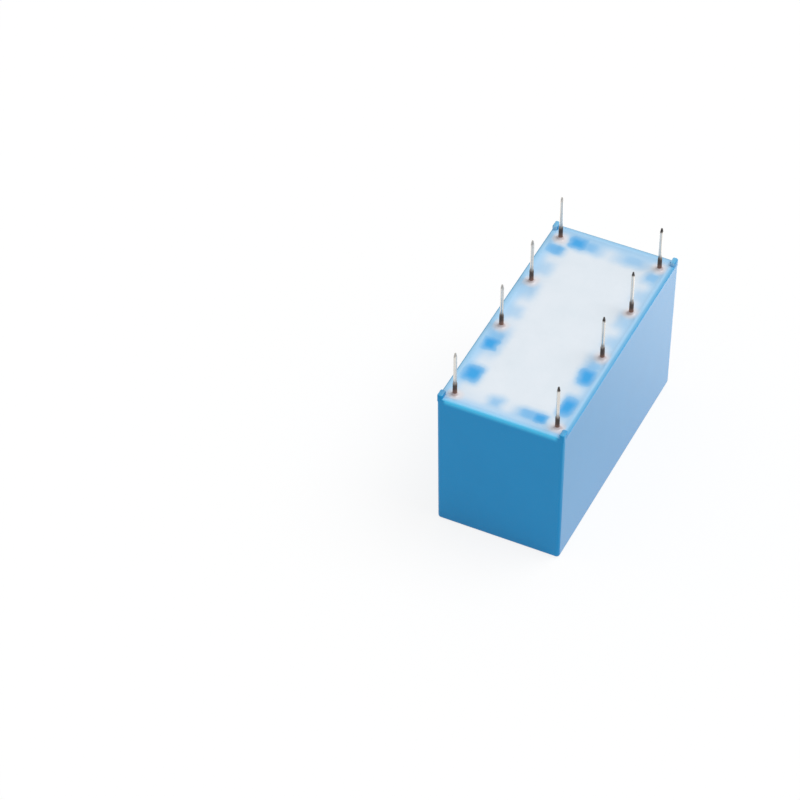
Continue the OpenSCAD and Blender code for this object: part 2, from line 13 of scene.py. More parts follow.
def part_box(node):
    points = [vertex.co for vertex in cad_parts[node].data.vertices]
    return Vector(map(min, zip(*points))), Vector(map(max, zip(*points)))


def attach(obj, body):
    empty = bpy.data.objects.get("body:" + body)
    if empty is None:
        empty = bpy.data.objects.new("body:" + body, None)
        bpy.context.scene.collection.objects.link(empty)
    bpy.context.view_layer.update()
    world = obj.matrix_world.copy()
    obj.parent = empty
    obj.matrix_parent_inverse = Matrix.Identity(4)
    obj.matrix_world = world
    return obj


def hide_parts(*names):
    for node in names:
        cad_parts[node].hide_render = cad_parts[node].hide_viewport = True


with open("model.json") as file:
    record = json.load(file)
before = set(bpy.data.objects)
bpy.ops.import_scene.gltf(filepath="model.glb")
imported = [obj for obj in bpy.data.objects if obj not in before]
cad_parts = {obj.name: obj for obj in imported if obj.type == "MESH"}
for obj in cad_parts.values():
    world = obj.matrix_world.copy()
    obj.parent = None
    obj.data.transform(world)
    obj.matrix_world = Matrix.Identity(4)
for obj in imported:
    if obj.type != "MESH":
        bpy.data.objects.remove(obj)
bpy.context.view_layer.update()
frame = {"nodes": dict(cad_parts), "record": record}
nodes = frame["nodes"]
mounts = {m["name"]: m for m in frame["record"]["mounts"]}

MM = 0.001

# Camera, fitted to the pins' feet and the case's corners in the square photograph
IMAGE_PX = 800
FOCAL_PX = 3709.5
SENSOR_MM = 36
AZIMUTH = -64.361
ELEVATION = 43.912
DISTANCE_MM = 261.623
TARGET_MM = Vector((-5.01, 9.89, 5.0))
CLIP_START_MM = 10

# Case, in mm, as in the CAD source, with its rounder rim and feet
WALL = 0.45
FACE_T = 0.6
DRAFT = 0.1
EDGE_R = 0.25
CAVITY_R = 0.06
RIM_R = 0.1
RIM_INNER_R = 0.05
FOOT_H = 0.35
FOOT_L = 0.7
FOOT_W = 0.42
FOOT_R = 0.14
FOOT_INSET = 0.005
FOOT_ROOT = 0.3
LEDGE_W = 0.5
TAB_H = 1.2
POCKET_DEPTH = 0.2
POCKET_L = 2.4
POCKET_W = 2.3
POCKET_LAND = 1.0
GATE_L = 1.3
GATE_W = 2.1
# How far a cutting tool reaches past the face that it opens
OVER = 0.5
# Share of its edge radius by which a foot closes in towards its top
FOOT_CROWN = 0.98

# Steps of each rounding: corners, face edge, rim outside and inside, feet, round-ended pocket
CORNER_STEPS = 8
FACE_EDGE_STEPS = 7
RIM_STEPS = 6
RIM_INNER_STEPS = 4
FOOT_STEPS = 5
GATE_STEPS = 24

# Angle between two faces up to which they are shaded as one smooth surface, in degrees
CASE_SMOOTH = 35
RESIN_SMOOTH = 60
NODE_SMOOTH = 30

# Potting, in mm
RECESS = 0.1
FILM = 0.03
CREEP = 0.08
CREEP_RISE = 0.004
WALL_FADE = 0.12
PIN_CLIMB = 0.2
PIN_FADE = 0.09
RIPPLE = 0.006
RIPPLE_SCALE = 0.7
RIPPLE_SEED = 3.1
ROOT_R = 0.175
ROOT_H = 1.2

# Points of the resin's mesh, in mm: their spacing on its outline and in its middle field, the
# rings near pins and walls, and how close others come. The field's points are shaken by a
# share of their spacing, with noise that is read in these steps and seeded
EDGE_CELL = 0.25
RESIN_CELL = 0.42
SHAKE = 0.25
SHAKE_STEPS = (1.7, 2.3, 0.5)
SHAKE_SEED = 1
PIN_TURNS = 28
PIN_HOLE_R = 0.165
PIN_HOLE_SLACK = 0.002
PIN_RINGS = (0.19, 0.22, 0.26, 0.31, 0.38, 0.48, 0.62)
WALL_RINGS = (0.05, CREEP, CREEP + 0.05, CREEP + 0.12, CREEP + 0.22, CREEP + 0.38)
WALL_RING_TO_PIN = 0.64
PIN_RING_TO_WALL = 0.03
FIELD_TO_WALL = 0.55
FIELD_TO_PIN = 0.8
MERGE_MM = 1e-6

# Where the base's pads show through the potting: x, y, length, width in mm, and how strongly
PATCHES = [
    (-6.65, 3.6, 1.9, 1.6, 1.0), (-3.42, 3.75, 1.6, 1.35, 1.0), (-3.0, 3.65, 3.0, 1.7, 0.5),
    (0.3, 3.6, 1.4, 1.3, 0.3), (2.7, 3.65, 1.8, 1.5, 0.34), (5.3, 3.6, 1.5, 1.4, 0.3),
    (7.5, 3.7, 1.15, 1.6, 0.68), (8.8, 2.45, 1.45, 1.5, 0.96), (8.75, 1.8, 1.6, 2.8, 0.5),
    (8.72, -1.85, 1.5, 2.9, 0.4), (-8.6, 1.0, 1.4, 1.3, 0.42), (-8.7, -1.75, 1.3, 2.5, 0.58),
    (-8.72, -2.35, 1.05, 1.2, 0.95), (-6.85, -3.62, 2.2, 1.25, 1.0), (-3.6, -3.62, 1.9, 1.35, 1.0),
    (-3.0, -3.62, 3.1, 1.5, 0.48), (0.3, -3.7, 1.3, 1.2, 0.3), (2.6, -3.7, 1.8, 1.3, 0.34),
    (5.55, -3.7, 1.4, 1.2, 0.28), (7.6, -3.7, 1.5, 1.4, 0.46),
]
# Shares of a patch's half size between which its colour fades
PATCH_CORE = 0.2
PATCH_EDGE = 1.5


def box_mm(node):
    """Lowest and highest corner of a CAD node, in mm."""
    low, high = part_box(node)
    return low / MM, high / MM


HALF_L, HALF_W, SEAT_Z = box_mm("cover")[1]
RIM_Z = SEAT_Z - FOOT_H
POTTING_Z = RIM_Z - RECESS
POTTING_Z0 = box_mm("potting")[0].z
BASE_Z0 = box_mm("common_terminal_left")[0].z + TAB_H
ROOT_Z = POTTING_Z + ROOT_H
PIN_Z = box_mm("coil_terminal_left")[1].z


def pin_places():
    """The eight pins' centres in mm, from the two mounts that they make."""
    places = []
    for name in ("outer_pins", "inner_pins"):
        x, y, _ = mounts[name]["pos_m"]
        half_x = mounts[name]["dims"]["spacing_x_mm"] / 2
        half_y = mounts[name]["dims"]["spacing_y_mm"] / 2
        places += [Vector((x / MM + sx * half_x, y / MM + sy * half_y))
                   for sx in (-1, 1) for sy in (-1, 1)]
    return places


PINS = pin_places()


def smoothstep(t):
    """Eases from 0 to 1."""
    t = min(max(t, 0.0), 1.0)
    return t * t * (3 - 2 * t)


def quarter(steps):
    """Angles from 0 to 90 degrees, in radians."""
    return [math.pi / 2 * i / steps for i in range(steps + 1)]


# Geometry helpers

def add_mesh(name, points, faces, smooth_angle=CASE_SMOOTH):
    """A mesh object from points in mm, shaded smooth up to that angle between faces."""
    mesh = bpy.data.meshes.new(name)
    mesh.from_pydata([Vector(p) * MM for p in points], [], faces)
    mesh.validate()
    obj = bpy.data.objects.new(name, mesh)
    bpy.context.scene.collection.objects.link(obj)
    shade(obj, smooth_angle)
    return obj


def shade(obj, smooth_angle):
    """Smooth shading, with sharp edges where faces meet at more than that angle in degrees."""
    obj.data.shade_smooth()
    obj.data.set_sharp_from_angle(angle=math.radians(smooth_angle))


def prism(name, outline, z0, z1):
    """A closed upright prism over an outline that runs anticlockwise, in mm."""
    n = len(outline)
    points = [(x, y, z) for z in (z0, z1) for x, y in outline]
    walls = [(i, (i + 1) % n, n + (i + 1) % n, n + i) for i in range(n)]
    return add_mesh(name, points, walls + [tuple(range(n - 1, -1, -1)), tuple(range(n, 2 * n))])


def rectangle(x0, x1, y0, y1):
    """Its four corners, anticlockwise."""
    return [(x0, y0), (x1, y0), (x1, y1), (x0, y1)]


def carve(obj, tool, operation):
    """Joins the tool to obj or cuts it out, and removes the tool."""
    step = obj.modifiers.new(operation, "BOOLEAN")
    step.operation = operation
    step.solver = "EXACT"
    step.object = tool
    evaluated = obj.evaluated_get(bpy.context.evaluated_depsgraph_get())
    mesh = bpy.data.meshes.new_from_object(evaluated)
    obj.modifiers.clear()
    obj.data = mesh
    bpy.data.objects.remove(tool)


# Case

def ring_points(half, radius, z):
    """A rounded rectangle at height z, anticlockwise, from half its length and width."""
    points = []
    for k, (sx, sy) in enumerate([(1, -1), (1, 1), (-1, 1), (-1, -1)]):
        for a in quarter(CORNER_STEPS):
            angle = math.radians(90 * k - 90) + a
            points.append((sx * (half.x - radius) + radius * math.cos(angle),
                           sy * (half.y - radius) + radius * math.sin(angle), z))
    return points


def case_ring(inward, z):
    """One ring of the case, whose walls lean out up to the rim."""
    lean = DRAFT * (1 - z / RIM_Z)
    off = lean + inward
    return ring_points(Vector((HALF_L - off, HALF_W - off)), max(EDGE_R - inward, CAVITY_R), z)


def case_rings():
    """Rings from the closed face up the wall, over the rim and down the cavity to its floor."""
    rings = [case_ring(EDGE_R * (1 - math.sin(a)), EDGE_R * (1 - math.cos(a)))
             for a in quarter(FACE_EDGE_STEPS)]
    rings += [case_ring(RIM_R * (1 - math.cos(a)), RIM_Z - RIM_R * (1 - math.sin(a)))
              for a in quarter(RIM_STEPS)]
    rings += [case_ring(WALL - RIM_INNER_R * (1 - math.sin(a)),
                        RIM_Z - RIM_INNER_R * (1 - math.cos(a))) for a in quarter(RIM_INNER_STEPS)]
    rings += [case_ring(WALL, BASE_Z0), case_ring(WALL, FACE_T)]
    return rings


def foot_rings():
    """Rings of one standoff foot about the origin, from inside the wall up over its rounded top."""
    half = Vector((FOOT_L / 2, FOOT_W / 2))
    rings = [ring_points(half, FOOT_R, RIM_Z - FOOT_ROOT)]
    for a in quarter(FOOT_STEPS):
        inward = FOOT_R * (1 - math.cos(a)) * FOOT_CROWN
        z = SEAT_Z - FOOT_R * (1 - math.sin(a))
        rings.append(ring_points(half - Vector((inward, inward)), FOOT_R - inward, z))
    return rings


def loft(rings):
    """Points and faces between rings of equally many points, closed by one face at each end."""
    n = len(rings[0])
    faces = [(k * n + i, k * n + (i + 1) % n, (k + 1) * n + (i + 1) % n, (k + 1) * n + i)
             for k in range(len(rings) - 1) for i in range(n)]
    last = (len(rings) - 1) * n
    faces.append(tuple(range(n - 1, -1, -1)))
    faces.append(tuple(range(last, last + n)))
    return [p for ring in rings for p in ring], faces


def make_case():
    """The drafted case with its feet, its corner ribs inside and the two moulding pockets below."""
    case = add_mesh("case", *loft(case_rings()))
    half = LEDGE_W / 2
    ledge_x = HALF_L - WALL - half
    ledge_y = HALF_W - WALL - half
    foot_x = HALF_L - FOOT_L / 2 - FOOT_INSET
    foot_y = HALF_W - FOOT_W / 2 - FOOT_INSET
    for sx in (-1, 1):
        for sy in (-1, 1):
            x, y = sx * ledge_x, sy * ledge_y
            plan = rectangle(x - half, x + half, y - half, y + half)
            carve(case, prism("rib", plan, FACE_T / 2, BASE_Z0), "UNION")
            points, faces = loft(foot_rings())
            off = Vector((sx * foot_x, sy * foot_y, 0))
            carve(case, add_mesh("foot", [Vector(p) + off for p in points], faces), "UNION")
    land_y = HALF_W - POCKET_LAND
    pocket = rectangle(HALF_L - POCKET_L, HALF_L + OVER, land_y - POCKET_W, land_y)
    carve(case, prism("pocket", pocket, -OVER, POCKET_DEPTH), "DIFFERENCE")
    gate_r = GATE_W / 2
    gate_x = HALF_L - GATE_L + gate_r
    turns = [math.pi * (0.5 + i / GATE_STEPS) for i in range(GATE_STEPS + 1)]
    round_end = [(gate_x + gate_r * math.cos(a), gate_r * math.sin(a)) for a in turns]
    gate = round_end + [(HALF_L + OVER, -gate_r), (HALF_L + OVER, gate_r)]
    carve(case, prism("gate", gate, -OVER, POCKET_DEPTH), "DIFFERENCE")
    shade(case, CASE_SMOOTH)
    even = case.modifiers.new("even", "WEIGHTED_NORMAL")
    even.keep_sharp = True
    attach(case, "root")
    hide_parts("cover")
    return case


# Potting

def potting_half():
    """Half length and half width of the potting's surface, which creeps a little onto the rim."""
    lean = DRAFT * (1 - POTTING_Z / RIM_Z)
    return Vector((HALF_L - WALL - lean + CREEP, HALF_W - WALL - lean + CREEP))


def wall_distance(p):
    """How far a point lies inside the potting's outline."""
    half = potting_half()
    return min(half.x - abs(p.x), half.y - abs(p.y))


def pin_distance(p):
    """Distance from a point to the nearest pin's axis."""
    return min((p - pin).length for pin in PINS)


def resin_height(p):
    """Height of the potting's surface, which climbs walls and pins and ripples between."""
    rise = RIM_Z + CREEP_RISE - POTTING_Z - FILM
    climb_wall = rise * math.exp(-max(wall_distance(p) - CREEP, 0) / WALL_FADE)
    climb_pin = PIN_CLIMB * math.exp(-max(pin_distance(p) - ROOT_R, 0) / PIN_FADE)
    wave = noise.noise(Vector((p.x * RIPPLE_SCALE, p.y * RIPPLE_SCALE, RIPPLE_SEED)))
    ripple = RIPPLE * wave * smoothstep(wall_distance(p) - CREEP)
    return POTTING_Z + FILM + climb_wall + climb_pin + ripple


def pin_ring(pin, radius):
    """Points of a circle round a pin."""
    return [pin + radius * Vector((math.cos(a), math.sin(a)))
            for a in [2 * math.pi * i / PIN_TURNS for i in range(PIN_TURNS)]]


def resin_points():
    """Points of the surface: its outline, the pins' holes, and rings and a field between."""
    half = potting_half()
    edge = []
    for sx, sy, along_x in ((1, -1, False), (1, 1, True), (-1, 1, False), (-1, -1, True)):
        a = Vector((sx * half.x, sy * half.y))
        b = Vector((-a.x, a.y)) if along_x else Vector((a.x, -a.y))
        count = round((b - a).length / EDGE_CELL)
        edge += [a.lerp(b, i / count) for i in range(count)]
    inner = []
    for inset in WALL_RINGS:
        scale = Vector(((half.x - inset) / half.x, (half.y - inset) / half.y))
        inner += [q for q in (p * scale for p in edge) if pin_distance(q) > WALL_RING_TO_PIN]
    pin_loops = [pin_ring(pin, PIN_HOLE_R) for pin in PINS]
    for pin in PINS:
        for radius in PIN_RINGS:
            inner += [q for q in pin_ring(pin, radius) if wall_distance(q) > PIN_RING_TO_WALL]
    rows = int(2 * half.y / RESIN_CELL)
    columns = int(2 * half.x / RESIN_CELL)
    noise.seed_set(SHAKE_SEED)
    for i in range(columns):
        for j in range(rows):
            step = Vector((i * SHAKE_STEPS[0], j * SHAKE_STEPS[1], SHAKE_STEPS[2]))
            shift = noise.noise_vector(step) * RESIN_CELL * SHAKE
            q = Vector(((i + 0.5) * RESIN_CELL - columns * RESIN_CELL / 2 + shift.x,
                        (j + 0.5) * RESIN_CELL - rows * RESIN_CELL / 2 + shift.y))
            if wall_distance(q) > FIELD_TO_WALL and pin_distance(q) > FIELD_TO_PIN:
                inner.append(q)
    return edge, pin_loops, inner


def make_potting():
    """The milky resin between the case's walls, one closed sheet with a hole for each pin."""
    edge, pin_loops, inner = resin_points()
    flat = list(edge)
    loops = [list(range(len(edge)))]
    for ring in pin_loops:
        loops.append(list(range(len(flat), len(flat) + len(ring))))
        flat += ring
    flat += inner
    borders = [(loop[i], loop[(i + 1) % len(loop)]) for loop in loops for i in range(len(loop))]
    made, _, triangles, _, _, _ = delaunay_2d_cdt(flat, borders, [], 0, MERGE_MM)
    kept = []
    for t in triangles:
        middle = sum((made[i] for i in t), Vector((0, 0))) / 3
        if pin_distance(middle) > PIN_HOLE_R - PIN_HOLE_SLACK:
            kept.append(tuple(t))
    n = len(made)
    points = [(p.x, p.y, resin_height(p)) for p in made] + [(p.x, p.y, POTTING_Z0) for p in made]
    faces = kept + [tuple(n + i for i in reversed(t)) for t in kept]
    used = dict.fromkeys((t[k], t[(k + 1) % 3]) for t in kept for k in range(3))
    faces += [(b, a, n + a, n + b) for a, b in used if (b, a) not in used]
    resin = add_mesh("potting_resin", points, faces, RESIN_SMOOTH)
    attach(resin, "root")
    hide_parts("potting")
    return resin


# Material helpers

class Graph:
    """A material with one Principled shader, and short calls that add nodes to it."""

    def __init__(self, name, **constants):
        self.material = bpy.data.materials.new(name)
        self.material.use_nodes = True
        self.tree = self.material.node_tree
        self.tree.nodes.clear()
        out = self.tree.nodes.new("ShaderNodeOutputMaterial")
        self.shader = self.tree.nodes.new("ShaderNodeBsdfPrincipled")
        self.tree.links.new(self.shader.outputs[0], out.inputs["Surface"])
        for key, value in constants.items():
            self.shader.inputs[key.replace("_", " ")].default_value = value
        place = self.tree.nodes.new("ShaderNodeTexCoord")
        self.normal = place.outputs["Normal"]
        self.mm = self.vector("SCALE", place.outputs["Object"], scale=1 / MM)

    def feed(self, node, key, value):
        """Sets a node's input to a number or links it to another node's output."""
        if isinstance(value, bpy.types.NodeSocket):
            self.tree.links.new(value, node.inputs[key])
        else:
            node.inputs[key].default_value = value

    def set(self, key, value):
        self.feed(self.shader, key, value)

    def math(self, operation, a, b=0.0, c=0.0, clamp=False):
        node = self.tree.nodes.new("ShaderNodeMath")
        node.operation = operation
        node.use_clamp = clamp
        for i, value in enumerate((a, b, c)):
            self.feed(node, i, value)
        return node.outputs[0]

    def vector(self, operation, a, b=(0, 0, 0), scale=1.0):
        node = self.tree.nodes.new("ShaderNodeVectorMath")
        node.operation = operation
        for i, value in ((0, a), (1, b), (3, scale)):
            self.feed(node, i, value)
        return node.outputs["Value" if operation in ("LENGTH", "DISTANCE") else 0]

    def noise(self, scale, detail=2.0, rough=0.5, stretch=(1, 1, 1), out=0):
        """Noise with its scale in features for each mm; output 0 is a number and 1 a colour."""
        node = self.tree.nodes.new("ShaderNodeTexNoise")
        self.feed(node, "Vector", self.vector("MULTIPLY", self.mm, stretch))
        for key, value in (("Scale", scale), ("Detail", detail), ("Roughness", rough)):
            self.feed(node, key, value)
        return node.outputs[out]

    def fade(self, value, low, high, at_low=0.0, at_high=1.0):
        """A smooth change from one number to another between two values."""
        node = self.tree.nodes.new("ShaderNodeMapRange")
        node.interpolation_type = "SMOOTHSTEP"
        for i, v in enumerate((value, low, high, at_low, at_high)):
            self.feed(node, i, v)
        return node.outputs[0]

    def between(self, value, low, high):
        """A number that goes evenly from low to high as the value goes from 0 to 1."""
        return self.math("MULTIPLY_ADD", value, high - low, low)

    def mix(self, share, a, b):
        """A colour that goes from a to b as the share goes from 0 to 1."""
        node = self.tree.nodes.new("ShaderNodeMix")
        node.data_type = "RGBA"
        for i, value in ((0, share), (6, a), (7, b)):
            self.feed(node, i, value)
        return node.outputs[2]

    def axis(self, name, of=None):
        """One part of a vector, or of the place in mm."""
        node = self.tree.nodes.new("ShaderNodeSeparateXYZ")
        self.feed(node, 0, of or self.mm)
        return node.outputs[name]

    def bump(self, height, depth_mm):
        node = self.tree.nodes.new("ShaderNodeBump")
        self.feed(node, "Height", height)
        self.feed(node, "Distance", depth_mm * MM)
        self.set("Normal", node.outputs[0])


def srgb(r, g, b):
    """A colour given as it looks on a screen, from 0 to 255, as the shader's own linear one."""
    def linear(v):
        v /= 255
        return v / 12.92 if v <= 0.04045 else ((v + 0.055) / 1.055) ** 2.4
    return (linear(r), linear(g), linear(b), 1.0)


# Materials. Pairs of numbers are where a change starts and ends, unless their line says more.

# Case, in mm: painted highlight in from its upright edges, painted highlight below the rim, painted
# light and shade lines across its top, and feet
PAINTED_EDGE_HIGHLIGHT = (0.16, 0.34)
RIM_PAINTED_HIGHLIGHT = (0.02, 0.5)
RIM_LINE = (0.07, 0.14)
RIM_PALE = (0.14, 0.34)
RIM_TOP = (0.12, 0.2)
FOOT_TOP = (-0.4, -0.25)
FOOT_INSIDE = (-0.1, 0.05)
SIDE_BLEND = (0.2, 0.6)
# Case, in mm: at a foot's inner sides, along and across the case, and at the case's middle
FOOT_ALONG = (-0.1, 0.1)
FOOT_ACROSS = (-0.3, 0.0)
AT_MIDDLE = (-1, 1)
# Case: how far a face looks sideways, upward or towards the middle
SIDE_HIGHLIT = (0.45, 0.8)
HIGHLIGHT_SIDEWAYS = (0.3, 0.7)
LOOKS_UP = (0.35, 0.95)
LOOKS_INWARD = (-0.8, -0.4)

# Resin: tint and haze inward from the walls, pale halo and browned ring round the pins, in mm
WALL_TINT = (-0.15, 0.8)
WALL_HAZE = (0.3, 2.2)
PIN_HALO = (0.25, 0.8)
PIN_BROWNED = (0.16, 0.36)
FAR_MM = 9.0
WANDER_MM = 0.5
# Resin over a pad: gain of its pale tint, and gain and offset of its strong blue
PAD_PALE = 2.0
PAD_BLUE = (1.45, -0.47)

# Pins: browned foot, soot above its rust, cut tip, and the part below the resin, in mm
FOOT_BROWN = (-0.25, 0.4)
RUST_TO_SOOT = (0.25, 0.75)
TIP_DARK = (-0.4, -0.2)
BELOW_RESIN = (-0.3, -0.1)
LEVEL_WANDER_MM = 0.5
# Pins: from the row with darker tips to the other one, and how much rougher the dull parts are
TIP_ROWS = (-3, 3)
DULLNESS = 0.22

# Wound copper
TURNS_PER_MM = 9
# Moulded plastic: how much its clouds and its specks lighten it
CLOUD_SHARE = 0.7
SPECK_SHARE = 0.5


def moulded_plastic(name, colour, darker):
    """Moulded plastic: a fine spark-eroded grain, faint clouds in its colour and uneven gloss."""
    g = Graph(name)
    clouds = g.math("MULTIPLY", g.noise(0.35, detail=3, rough=0.55), CLOUD_SHARE)
    specks = g.noise(5.0, detail=3, rough=0.6)
    share = g.math("MULTIPLY_ADD", specks, SPECK_SHARE, clouds, clamp=True)
    g.set("Base Color", g.mix(share, darker, colour))
    g.set("Roughness", g.between(specks, 0.32, 0.48))
    g.bump(g.noise(8.0), depth_mm=0.004)
    return g.material


def wall_gap(g, half):
    """Distance inward from a box's nearest side, in mm, from its half length and half width."""
    along = g.math("SUBTRACT", half.x, g.math("ABSOLUTE", g.axis("X")))
    across = g.math("SUBTRACT", half.y, g.math("ABSOLUTE", g.axis("Y")))
    return g.math("MINIMUM", along, across)


def case_plastic():
    """Blue plastic with painted highlights below its rim, by its upright edges and on top, and
    painted shade lines on its rims.
    """
    g = Graph("case_plastic", IOR=1.3, Sheen_Weight=0.5, Sheen_Roughness=0.3)
    clouds = g.noise(0.3, detail=3, rough=0.55)
    specks = g.noise(6.0, detail=3, rough=0.6)
    x, y = g.axis("X"), g.axis("Y")
    far, out = g.math("ABSOLUTE", x), g.math("ABSOLUTE", y)
    below = g.math("SUBTRACT", RIM_Z, g.axis("Z"))
    sideways = g.math("ABSOLUTE", g.axis("Y", g.normal))

    body = g.mix(clouds, srgb(0, 139, 200), srgb(4, 146, 208))
    # Painted highlight: lighter blue in from the upright edges, only on faces that look sideways
    to_edge = g.math("SUBTRACT", HALF_L + HALF_W, g.math("ADD", far, out))
    edge = g.math("MULTIPLY", g.fade(to_edge, *PAINTED_EDGE_HIGHLIGHT, 0.5, 0), g.fade(sideways, *SIDE_HIGHLIT))
    body = g.mix(edge, body, srgb(80, 176, 226))

    # Painted highlight: bright cyan just below the rim, brighter on the end faces than on the
    # sides, kept off the feet
    at_foot = g.math("MULTIPLY",
                     g.fade(far, *(HALF_L - FOOT_L + step for step in FOOT_ALONG)),
                     g.fade(out, *(HALF_W - FOOT_W + step for step in FOOT_ACROSS)))
    rim_highlight_share = g.math("MULTIPLY", g.fade(below, *RIM_PAINTED_HIGHLIGHT, 1, 0), g.math("SUBTRACT", 1.0, at_foot))
    bright = g.mix(g.fade(sideways, *HIGHLIGHT_SIDEWAYS), srgb(72, 206, 255), srgb(36, 158, 218))
    glow = g.mix(rim_highlight_share, body, bright)
    # Painted highlight: pale blue on faces that look inward at the rim and feet
    outward = g.math("DIVIDE", g.math("MULTIPLY", x, g.axis("X", g.normal)), HALF_L)
    inside = g.math("MULTIPLY", g.fade(outward, *LOOKS_INWARD, 1, 0),
                    g.fade(below, *FOOT_INSIDE, 1, 0))
    glow = g.mix(inside, glow, srgb(146, 200, 238))

    # Painted light and shade across the rim's top: a painted shade line at its outer edge on the
    # far and left sides, a painted highlight there at the coil end, a darker painted band on the
    # right side, and paler painted light further in
    off = wall_gap(g, Vector((HALF_L, HALF_W)))
    coil_end = g.fade(g.math("ADD", x, HALF_L), *SIDE_BLEND, 1, 0)
    right = g.fade(g.math("ADD", y, HALF_W), *SIDE_BLEND, 1, 0)
    outer = g.mix(right, srgb(98, 160, 194), srgb(100, 172, 216))
    outer = g.mix(coil_end, outer, srgb(108, 198, 240))
    inner = g.mix(right, srgb(152, 198, 230), srgb(116, 184, 226))
    inner = g.mix(coil_end, inner, srgb(142, 208, 245))
    line = g.mix(g.fade(off, *RIM_LINE), outer, inner)
    pale = g.mix(g.fade(off, *RIM_PALE), line, srgb(164, 208, 240))
    # Foot tops: painted shade at the coil end, painted light at the far end
    foot_top = g.mix(g.fade(x, *AT_MIDDLE), srgb(36, 146, 202), srgb(96, 176, 218))
    top = g.mix(g.fade(below, *FOOT_TOP, 1, 0), pale, foot_top)

    # Only faces that look up at the rim and feet get this lighter painted top
    up = g.fade(g.axis("Z", g.normal), *LOOKS_UP)
    painted_top_light = g.math("MULTIPLY", up, g.fade(below, *RIM_TOP, 1, 0))
    g.set("Base Color", g.mix(painted_top_light, glow, top))
    g.set("Roughness", g.between(specks, 0.12, 0.24))
    g.bump(g.noise(9.0), depth_mm=0.0015)
    return g.material


def potting_resin():
    """Milky resin: bluish by the walls, blue over the pads, browned where it climbs the pins."""
    g = Graph("potting_resin", IOR=1.5, Roughness=0.3)
    flat = g.vector("MULTIPLY", g.mm, (1, 1, 0))
    wander = g.noise(0.9, detail=3, rough=0.55, out=1)
    wander = g.vector("SUBTRACT", wander, (0.5, 0.5, 0.5))
    flat = g.vector("ADD", flat, g.vector("MULTIPLY", wander, (WANDER_MM, WANDER_MM, 0)))
    blue = 0.0
    for x, y, length, width, strength in PATCHES:
        share = g.vector("SUBTRACT", flat, (x, y, 0))
        share = g.vector("MULTIPLY", share, (2 / length, 2 / width, 0))
        square = g.vector("LENGTH", g.vector("MULTIPLY", share, share))
        patch = g.fade(g.math("SQRT", square), PATCH_CORE, PATCH_EDGE, strength, 0)
        blue = g.math("MAXIMUM", blue, patch)
    near = FAR_MM
    for pin in PINS:
        near = g.math("MINIMUM", near, g.vector("DISTANCE", flat, (pin.x, pin.y, 0)))
    clouds = g.noise(0.4, detail=3, rough=0.6)
    white = g.mix(clouds, srgb(217, 227, 235), srgb(230, 236, 243))
    wall = wall_gap(g, Vector((HALF_L - WALL, HALF_W - WALL)))
    tinted = g.mix(g.fade(wall, *WALL_TINT, 0.95, 0), white, srgb(162, 207, 240))
    tinted = g.mix(g.fade(wall, *WALL_HAZE, 0.2, 0), tinted, srgb(162, 200, 234))
    pale = g.mix(g.math("MULTIPLY", blue, PAD_PALE, clamp=True), tinted, srgb(148, 197, 234))
    strong = g.mix(g.math("MULTIPLY_ADD", blue, *PAD_BLUE, clamp=True), pale, srgb(30, 158, 226))
    halo = g.mix(g.fade(near, *PIN_HALO, 0.7, 0), strong, srgb(226, 215, 213))
    ring = g.mix(g.fade(near, *PIN_BROWNED, 0.6, 0), halo, srgb(166, 134, 126))
    g.set("Base Color", ring)
    g.bump(g.noise(1.1), depth_mm=0.012)
    return g.material


def pin_metal():
    """Tinned pins: browned by flux at the foot, bright along the shaft, dark at the cut tip."""
    g = Graph("tinned_terminal", IOR=1.5)
    z = g.axis("Z")
    uneven = g.noise(3.0, detail=3, rough=0.6)
    level = g.math("ADD", z, g.between(uneven, -LEVEL_WANDER_MM / 2, LEVEL_WANDER_MM / 2))
    above_root = g.math("SUBTRACT", level, ROOT_Z)
    above_resin = g.math("SUBTRACT", level, POTTING_Z)
    from_tip = g.math("SUBTRACT", level, PIN_Z)
    inside = g.fade(g.math("SUBTRACT", z, POTTING_Z), *BELOW_RESIN, 1, 0)
    browned = g.math("MULTIPLY", g.fade(above_root, *FOOT_BROWN, 1, 0),
                     g.math("SUBTRACT", 1.0, inside))
    tip = g.math("MULTIPLY", g.fade(from_tip, *TIP_DARK), g.fade(g.axis("Y"), *TIP_ROWS, 1, 0.4))

    streaks = g.noise(9.0, detail=3, rough=0.6, stretch=(1, 1, 0.15))
    bright = g.mix(streaks, srgb(205, 201, 196), srgb(240, 236, 230))
    dim = g.mix(streaks, srgb(168, 170, 170), srgb(206, 207, 205))
    blotches = g.noise(5.0, detail=3, rough=0.65)
    rust = g.mix(blotches, srgb(108, 70, 56), srgb(158, 116, 98))
    soot = g.mix(blotches, srgb(54, 42, 37), srgb(94, 74, 63))
    brown = g.mix(g.fade(above_resin, *RUST_TO_SOOT), rust, soot)
    colour = g.mix(browned, g.mix(inside, bright, dim), brown)
    g.set("Base Color", g.mix(tip, colour, srgb(62, 56, 53)))
    dull = g.math("MAXIMUM", browned, tip)
    g.set("Metallic", g.between(dull, 1.0, 0.25))
    g.set("Roughness", g.math("MULTIPLY_ADD", dull, DULLNESS, g.between(streaks, 0.16, 0.36)))
    g.bump(streaks, depth_mm=0.004)
    return g.material


def metal(name, colour, darker, roughness, stretch):
    """Rolled or plated metal with fine streaks along one direction and a range of roughness."""
    g = Graph(name, Metallic=1.0)
    streaks = g.noise(14.0, detail=4, rough=0.6, stretch=stretch)
    clouds = g.noise(0.8, detail=3, rough=0.6)
    share = g.math("MULTIPLY", g.math("ADD", streaks, clouds), 0.5)
    g.set("Base Color", g.mix(share, darker, colour))
    g.set("Roughness", g.between(streaks, *roughness))
    g.bump(streaks, depth_mm=0.003)
    return g.material


